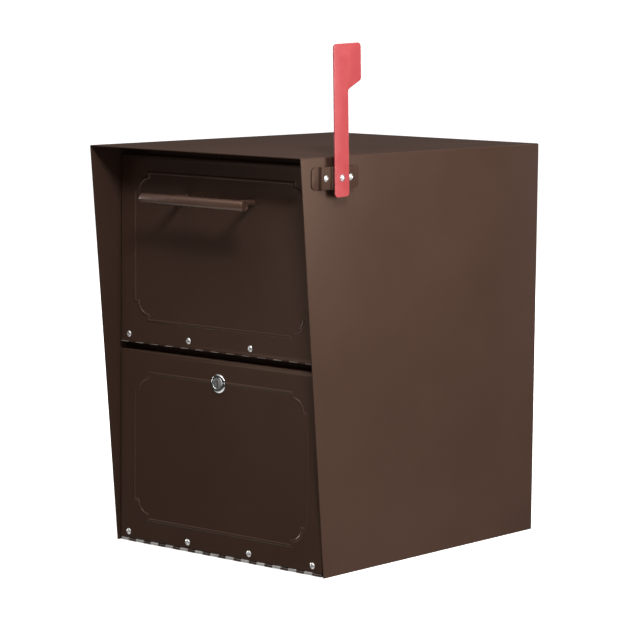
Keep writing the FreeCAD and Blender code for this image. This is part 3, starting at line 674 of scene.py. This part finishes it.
plug_back = -(high.y - door_y - TENON_LENGTH)
plug = turn("lock_plug_face", [(PLUG_R, plug_back), (PLUG_R, plug_front - 0.35 * MM),
                               (PLUG_R - 0.12 * MM, plug_front - 0.12 * MM),
                               (PLUG_R - 0.4 * MM, plug_front), (PLUG_R * 0.5, plug_front)], 48)
aim(plug, lock_at, FRONT)

deselect()
keyway_foot = lock_at + Vector((0, -plug_front - 1 * MM, -KEYWAY_HEIGHT / 2))
bpy.ops.mesh.primitive_plane_add(size=1, rotation=(math.pi / 2, 0, 0), location=keyway_foot)
cutter = open_mesh("keyway_cutter", (KEYWAY_WIDTH, 0.6 * MM, 1))
rise = (KEYWAY_HEIGHT - 0.6 * MM) / len(KEYWAY_WAVE)
shift_was = 0.0
for shift in KEYWAY_WAVE:
    mesh = bmesh.from_edit_mesh(cutter.data)
    top_z = max(v.co.z for v in mesh.verts)
    pick("EDGE", lambda e: all(near(v.co.z, top_z, 0.01 * MM) for v in e.verts))
    step = ((shift - shift_was) * MM, 0, rise)
    bpy.ops.mesh.extrude_edges_move(TRANSFORM_OT_translate={"value": step})
    shift_was = shift
bpy.ops.mesh.select_all(action="SELECT")
bpy.ops.mesh.extrude_region_move(TRANSFORM_OT_translate={"value": (0, KEYWAY_DEPTH + 1 * MM, 0)})
bpy.ops.mesh.select_all(action="SELECT")
bpy.ops.mesh.normals_make_consistent(inside=False)
modify(plug, "BOOLEAN", operation="DIFFERENCE", object=cutter, solver="EXACT")
bpy.data.objects.remove(cutter)

deselect()
tenon_at = lock_at + Vector((0, -plug_back + TENON_LENGTH / 2, 0))
bpy.ops.mesh.primitive_cube_add(size=1, location=tenon_at)
tenon = open_mesh("plug_tenon", (TENON, TENON_LENGTH + 0.2 * MM, TENON))
pick("EDGE", lambda e: near(middle(e).y, lock_at.y - plug_back + TENON_LENGTH / 2, 0.2 * MM))
bpy.ops.mesh.bevel(offset=0.5 * MM, segments=2, affect="EDGES")
bpy.ops.object.mode_set(mode="OBJECT")
plug = join([plug, tenon], "lock_plug_face")
hand_over(plug, "lock_core", "plug_nickel", plug_nickel, "lock_plug")

# %% [markdown]
# ## The handle
# The bar is a tube with turned ends and a cap set just inside each one. Two posts hold it off the
# door. Each flares where it is welded to the bar and stands on a small foot, which is why the
# posts are turned with a profile and not left as straight rods.

# %% Handle bar and end caps
low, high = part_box("handle_bar")
BAR_R = (high.z - low.z) / 2
BAR_WALL = 1.6 * MM
bar_at = (low + high) / 2
half_bar = high.x
bore = BAR_R - BAR_WALL
tube = [(bore, -half_bar + 0.4 * MM), (bore + 0.3 * MM, -half_bar + 0.08 * MM),
        (bore + 0.6 * MM, -half_bar), (BAR_R - 0.7 * MM, -half_bar),
        (BAR_R - 0.25 * MM, -half_bar + 0.2 * MM), (BAR_R, -half_bar + 0.7 * MM)]
mirrored = [(radius, -height) for radius, height in tube[::-1]]
bar = turn("handle_tube", tube + mirrored + tube[:1], 40)
aim(bar, bar_at, (1, 0, 0))
hand_over(bar, "hopper_door", "handle_coat", handle_coat, "handle_bar")

CAP_RECESS = 0.8 * MM
CAP_LENGTH = 4.0 * MM
cap_profile = [(bore * 0.98, -CAP_LENGTH), (bore, -CAP_LENGTH + 0.2 * MM), (bore, -0.35 * MM),
               (bore - 0.35 * MM, -0.02 * MM), (bore * 0.6, 0.10 * MM), (bore * 0.25, 0.14 * MM)]
caps = []
for side in (-1, 1):
    cap = turn("handle_caps", cap_profile, 32)
    aim(cap, bar_at + Vector((side * (half_bar - CAP_RECESS), 0, 0)), (side, 0, 0))
    caps.append(cap)
hand_over(join(caps, "handle_caps"), "hopper_door", "handle_coat", handle_coat, "handle_end_caps")

# %% Handle posts
low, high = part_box("handle_posts")
POST_R = (high.z - low.z) / 2
post_x = high.x - POST_R
post_length = door_y - bar_at.y - BAR_R * 0.82
post_profile = [(POST_R * 0.97, 0), (POST_R, 0.35 * MM), (POST_R, 1.1 * MM),
                (POST_R - 0.25 * MM, 1.5 * MM),
                (POST_R - 0.3 * MM, 6 * MM), (POST_R - 0.3 * MM, post_length - 7 * MM),
                (POST_R - 0.25 * MM, post_length - 4 * MM), (POST_R, post_length - 2 * MM),
                (POST_R, post_length)]
posts = []
for side in (-1, 1):
    post = turn("handle_welded_posts", post_profile, 32)
    aim(post, Vector((side * post_x, door_y, bar_at.z)), FRONT)
    posts.append(post)
hand_over(join(posts, "handle_welded_posts"), "hopper_door", "handle_coat", handle_coat,
          "handle_posts")

# %% [markdown]
# ## Rolled hinge leaves
# A continuous hinge is two strips whose fingers are rolled round one long pin, turn and turn
# about. Each finger is an edge extruded towards the pin and then spun round it, which is just how
# the real strip is rolled. An array repeats the finger at twice the knuckle's length.

# %% Hinge sizes
KNUCKLE = 12.7 * MM
KNUCKLE_R = 2.1 * MM
LEAF = 0.9 * MM
CURL_R = KNUCKLE_R - LEAF / 2
HINGE_GAP = 0.4 * MM
HINGE_REACH = KNUCKLE_R + HINGE_GAP
ROLL = math.radians(300)   # how far a finger is rolled round the pin


# %% Folding a strip and rolling a leaf
def fold(name, start, width, runs, rotation=(0, 0, 0)):
    """An edge of this width at start, extruded along each run in turn, on X unless turned."""
    deselect()
    bpy.ops.mesh.primitive_plane_add(size=width, location=start + Vector((0, width / 2, 0)),
                                     rotation=rotation)
    strip = open_mesh(name)
    pick("VERT", lambda v: v.co.y > start.y + width / 2)
    bpy.ops.mesh.delete(type="VERT")
    bpy.ops.mesh.select_mode(type="EDGE")
    bpy.ops.mesh.select_all(action="SELECT")
    for run in runs:
        bpy.ops.mesh.extrude_edges_move(TRANSFORM_OT_translate={"value": run})
    return strip


def rolled_leaf(name, pin, knuckles, first, plate_start, plate_end, finger_end, turn_by):
    """A leaf: its plate, and every second knuckle from first, rolled round the pin."""
    length = KNUCKLE * knuckles
    plate = fold(name, plate_start, length, [plate_end - plate_start])
    modify(plate, "SOLIDIFY", thickness=LEAF, offset=0)
    across = (first + 0.5) * KNUCKLE - length / 2
    start = Vector((across, plate_end.y, plate_end.z))
    finger = fold(name + "_finger", start, KNUCKLE - HINGE_GAP, [finger_end - plate_end])
    bpy.ops.mesh.spin(steps=18, angle=turn_by, center=(across, pin.y, pin.z), axis=(1, 0, 0))
    bpy.ops.mesh.select_all(action="SELECT")
    bpy.ops.mesh.remove_doubles(threshold=0.01 * MM)
    modify(finger, "SOLIDIFY", thickness=LEAF, offset=0, use_even_offset=True)
    modify(finger, "ARRAY", count=(knuckles - first + 1) // 2, use_relative_offset=False,
           use_constant_offset=True, constant_offset_displace=(2 * KNUCKLE, 0, 0))
    leaf = join([plate, finger], name)
    soften(leaf, 0.12 * MM, segments=1, angle=50)
    return leaf


def hinge_numbers(prefix):
    """The pin's place, the far corner of both leaves and the number of knuckles, from the CAD."""
    low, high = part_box(prefix + "_hinge_pin")
    door_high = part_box(prefix + "_hinge_door_leaf")[1]
    fixed_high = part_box(prefix + "_hinge_fixed_leaf")[1]
    return (low + high) / 2, door_high, fixed_high, round((high.x - low.x) / KNUCKLE)


# %% Both hinges
leaf_y = door_y + SHEET + LEAF / 2   # door leaves lie on the back of the skins
for prefix, body in (("lower", "locker_door"), ("upper", "hopper_door")):
    pin, door_high, fixed_high, knuckles = hinge_numbers(prefix)
    seat_z = {"lower": SHEET, "upper": pin.z - KNUCKLE_R}[prefix] + LEAF / 2
    drop = seat_z - pin.z
    fixed_reach = math.sqrt(max(CURL_R ** 2 - drop ** 2, 0))
    fixed = rolled_leaf(prefix + "_hinge_rolled_fixed", pin, knuckles, 0,
                        Vector((0, fixed_high.y, seat_z)), Vector((0, pin.y + HINGE_REACH, seat_z)),
                        Vector((0, pin.y + fixed_reach, seat_z)), -ROLL)
    hand_over(fixed, "housing", "hinge_steel", hinge_steel, prefix + "_hinge_fixed_leaf")
    ahead = max(min(leaf_y - pin.y, CURL_R), -CURL_R)
    rise = math.sqrt(max(CURL_R ** 2 - ahead ** 2, 0))
    moving = rolled_leaf(prefix + "_hinge_rolled_door", pin, knuckles, 1,
                         Vector((0, leaf_y, door_high.z)), Vector((0, leaf_y, pin.z + HINGE_REACH)),
                         Vector((0, pin.y + ahead, pin.z + rise)), ROLL)
    hand_over(moving, body, "door_coat", door_coat, prefix + "_hinge_door_leaf")

# %% [markdown]
# ## The flag's bracket
# The bracket is one strap with steps: two feet on the wall, two shoulders that take the rivets,
# and a raised hub for the pivot. It is folded along its path like the leaves, its bends are
# bevelled, and the four outer corners of the feet are rounded.

# %% Flag bracket
low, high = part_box("flag_bracket")
wall_x = low.x
hub_x = high.x
STRAP = 1.5 * MM
SHOULDER = 6.4 * MM
FOOT = 12.5 * MM
HUB_WIDTH = 29.0 * MM
FOOT_CORNER = 6.0 * MM
pivot_y = (low.y + high.y) / 2
pivot_z = (low.z + high.z) / 2
foot_y = (high.y - low.y) / 2 - FOOT
rises = (SHOULDER - STRAP, hub_x - wall_x - SHOULDER)
shoulder_run = (0, foot_y - HUB_WIDTH / 2, 0)
runs = [(0, FOOT, 0), (rises[0], 0, 0), shoulder_run, (rises[1], 0, 0), (0, HUB_WIDTH, 0),
        (-rises[1], 0, 0), shoulder_run, (-rises[0], 0, 0), (0, FOOT, 0)]
strap = fold("flag_bracket_strap", Vector((wall_x + STRAP, low.y, pivot_z)), high.z - low.z, runs,
             rotation=(0, -math.pi / 2, 0))
face_towards(Vector((1, 0, 0)))
for bend_r, crest in ((1.9 * MM, True), (0.6 * MM, False)):
    corners = [(wall_x + STRAP, foot_y, False), (wall_x + SHOULDER, foot_y, True),
               (wall_x + SHOULDER, HUB_WIDTH / 2, False), (hub_x, HUB_WIDTH / 2, True)]
    wanted = [(x, y) for x, y, is_crest in corners if is_crest == crest]
    pick("EDGE", lambda e: abs(e.verts[0].co.z - e.verts[1].co.z) > 1 * MM
         and any(near(middle(e).x, x) and near(abs(middle(e).y - pivot_y), y) for x, y in wanted))
    bpy.ops.mesh.bevel(offset=bend_r, segments=4, affect="EDGES")
pick("VERT", lambda v: near(abs(v.co.y - pivot_y), (high.y - low.y) / 2))
bpy.ops.mesh.bevel(offset=FOOT_CORNER, segments=6, affect="VERTICES")
modify(strap, "SOLIDIFY", thickness=STRAP, offset=-1, use_even_offset=True)
soften(strap, 0.3 * MM, segments=2)
hand_over(strap, "housing", "cabinet_coat", cabinet_coat, "flag_bracket")

BRACKET_RIVETS = 44.4 * MM
BRACKET_GRIP = 7.5 * MM
sides = [Vector((wall_x + SHOULDER, pivot_y + side * BRACKET_RIVETS / 2, pivot_z))
         for side in (-1, 1)]
bracket_row = rivets("bracket_rivet_heads", sides, (1, 0, 0), BRACKET_GRIP)
hand_over(bracket_row, "housing", "rivet_steel", rivet_steel, "bracket_rivets")

# %% [markdown]
# ## The flag and its pivot
# The flag is cut from flat sheet: a stem with a blade to one side, its underside sloped. The
# blade is pulled from the stem by extruding the upper part of one edge. Corners are rounded as
# vertices, the sheet gets its gauge, and the edges are softened last because the paint rounds
# them.

# %% Flag
low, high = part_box("flag")
FLAG_SHEET = high.x - low.x
STEM = 25.5 * MM
TAIL = 22.4 * MM           # pivot to the stem's foot
FLAG_LENGTH = 155.6 * MM   # pivot to the tip
BLADE = 49.2 * MM
BLADE_HEIGHT = 43.3 * MM
UNDERCUT = 10.25 * MM      # how far the sloped underside drops to the stem
CORNER = 5.0 * MM
SLOPE_CORNER = 3.3 * MM    # the same radius on a corner that turns less
LEAN = math.radians(2.0)
flag_x = (low.x + high.x) / 2
pivot = Vector((flag_x, pivot_y, pivot_z))
blade_z = pivot.z + FLAG_LENGTH - BLADE_HEIGHT
neck_z = blade_z - UNDERCUT

deselect()
bpy.ops.mesh.primitive_plane_add(size=1, rotation=(0, math.pi / 2, 0),
                                 location=pivot + Vector((0, 0, (FLAG_LENGTH - TAIL) / 2)))
flag = open_mesh("signal_flag_blade", (FLAG_LENGTH + TAIL, STEM, 1))
bpy.ops.mesh.select_all(action="SELECT")
bpy.ops.mesh.bisect(plane_co=(flag_x, 0, neck_z), plane_no=(0, 0, 1))
pick("EDGE", lambda e: near(middle(e).y, pivot.y + STEM / 2) and middle(e).z > neck_z)
bpy.ops.mesh.extrude_edges_move(TRANSFORM_OT_translate={"value": (0, BLADE - STEM, 0)})
pick("VERT", lambda v: v.co.y > pivot.y + STEM and near(v.co.z, neck_z))
bpy.ops.transform.translate(value=(0, 0, UNDERCUT))
bpy.ops.mesh.select_mode(type="FACE")
bpy.ops.mesh.select_all(action="SELECT")
bpy.ops.mesh.dissolve_faces()
pick("VERT", lambda v: near(v.co.z, pivot.z - TAIL) or near(v.co.z, pivot.z + FLAG_LENGTH))
bpy.ops.mesh.bevel(offset=CORNER, segments=6, affect="VERTICES")
pick("VERT", lambda v: (near(v.co.z, neck_z) and v.co.y > pivot.y) or near(v.co.z, blade_z))
bpy.ops.mesh.bevel(offset=SLOPE_CORNER, segments=5, affect="VERTICES")
modify(flag, "SOLIDIFY", thickness=FLAG_SHEET, offset=0)
soften(flag, 0.5 * MM, segments=3)
lean = Matrix.Rotation(LEAN, 4, "X")
flag.data.transform(Matrix.Translation(pivot) @ lean @ Matrix.Translation(-pivot))
hand_over(flag, "signal_flag", "flag_red", flag_red, "flag")

# %% Flag pivot
low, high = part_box("flag_pivot_pin")
HEAD_R = 4.0 * MM
HEAD = 2.4 * MM
SHANK_R = 2.4 * MM
head_x = high.x - HEAD
tail = low.x - head_x
pin_profile = [(SHANK_R * 0.7, tail), (HEAD_R * 0.8, tail + 0.3 * MM),
               (HEAD_R * 0.98, tail + 1.1 * MM), (SHANK_R, tail + 1.2 * MM), (SHANK_R, 0),
               (HEAD_R - 0.2 * MM, 0), (HEAD_R, 0.25 * MM)]
pin_profile += dome_profile(HEAD_R, HEAD_R * 0.12, HEAD, 9)[1:]
pivot_pin = turn("flag_pivot_head", pin_profile, 36)
aim(pivot_pin, Vector((head_x, pivot_y, pivot_z)), (1, 0, 0))
hand_over(pivot_pin, "housing", "rivet_steel", rivet_steel, "flag_pivot_pin")

# %% [markdown]
# ## Floor and light
# A plain pale floor runs out past the view and glows a little, like a light table, so it stays
# white far from the lamps. It throws no light back on the box, as black cards would do in a
# studio, so the visor keeps its deep shadow. The soft sky is bright overhead and dark at the
# horizon, because the roof is seen at a low angle and mirrors it. One broad softbox lights the
# right wall, a higher one in front draws the handle's shadow, and a third from above fills the
# doors. Two weak cards give the doors a sheen and the frame line a glint. Two more softboxes,
# behind and to the left, keep those sides from going black when the box is turned round.

# %% Floor
floor_finish, floor_shader = new_finish("studio_floor")
tone = spread(floor_finish, noise(floor_finish, 3.0, 2.0), 0.0, 1.0)
link(floor_finish, blend_colours(floor_finish, tone, (0.90, 0.90, 0.90), (0.93, 0.93, 0.93)),
     floor_shader.inputs["Base Color"])
floor_shader.inputs["Roughness"].default_value = 0.9
floor_shader.inputs["Specular IOR Level"].default_value = 0.0
floor_shader.inputs["Emission Color"].default_value = (1, 1, 1, 1)
floor_shader.inputs["Emission Strength"].default_value = 0.6
deselect()
bpy.ops.mesh.primitive_plane_add(size=400)
floor = bpy.context.object
floor.name = "studio_floor"
floor.data.materials.append(floor_finish)
floor.visible_diffuse = False
floor.visible_glossy = False

# %% Sky and softboxes
world = bpy.data.worlds.new("studio_sky")
world.use_nodes = True
bpy.context.scene.world = world
tree = world.node_tree
sky_place = tree.nodes.new("ShaderNodeTexCoord")
sky_split = tree.nodes.new("ShaderNodeSeparateXYZ")
sky_height = tree.nodes.new("ShaderNodeMath")
sky_height.operation = "ABSOLUTE"
sky_ramp = tree.nodes.new("ShaderNodeMapRange")
for key, value in (("From Min", 0.40), ("From Max", 1.0), ("To Min", 0.03), ("To Max", 1.20)):
    sky_ramp.inputs[key].default_value = value
tree.links.new(sky_place.outputs["Generated"], sky_split.inputs["Vector"])
tree.links.new(sky_split.outputs["Z"], sky_height.inputs[0])
tree.links.new(sky_height.outputs["Value"], sky_ramp.inputs["Value"])
tree.links.new(sky_ramp.outputs["Result"], tree.nodes["Background"].inputs["Strength"])
tree.nodes["Background"].inputs["Color"].default_value = (1, 1, 1, 1)


def softbox(name, round_degrees, up_degrees, distance, size, watts):
    """A square light at this direction from the box, facing its middle."""
    turn_by, rise_by = math.radians(round_degrees), math.radians(up_degrees)
    target = (cad_box[0] + cad_box[1]) / 2
    towards = Vector((math.sin(turn_by) * math.cos(rise_by), -math.cos(turn_by) * math.cos(rise_by),
                      math.sin(rise_by)))
    deselect()
    bpy.ops.object.light_add(type="AREA", location=target + towards * distance)
    light = bpy.context.object
    light.name = name
    light.rotation_mode = "QUATERNION"
    light.rotation_quaternion = towards.to_track_quat("Z", "Y")
    light.data.shape = "SQUARE"
    light.data.size = size
    light.data.energy = watts
    return light


softbox("side_softbox", 99, 12, 3.0, 1.3, 100)
softbox("front_softbox", 48, 36, 3.2, 0.6, 60)
softbox("fill_softbox", 4, 56, 3.0, 1.2, 21)
softbox("sheen_card", -28, -4, 3.0, 0.7, 1.6)
softbox("glint_card", 40, 3, 4.4, 0.6, 10)
softbox("back_softbox", 190, 4, 3.2, 0.9, 56)
softbox("left_softbox", 272, 4, 3.2, 1.1, 62)
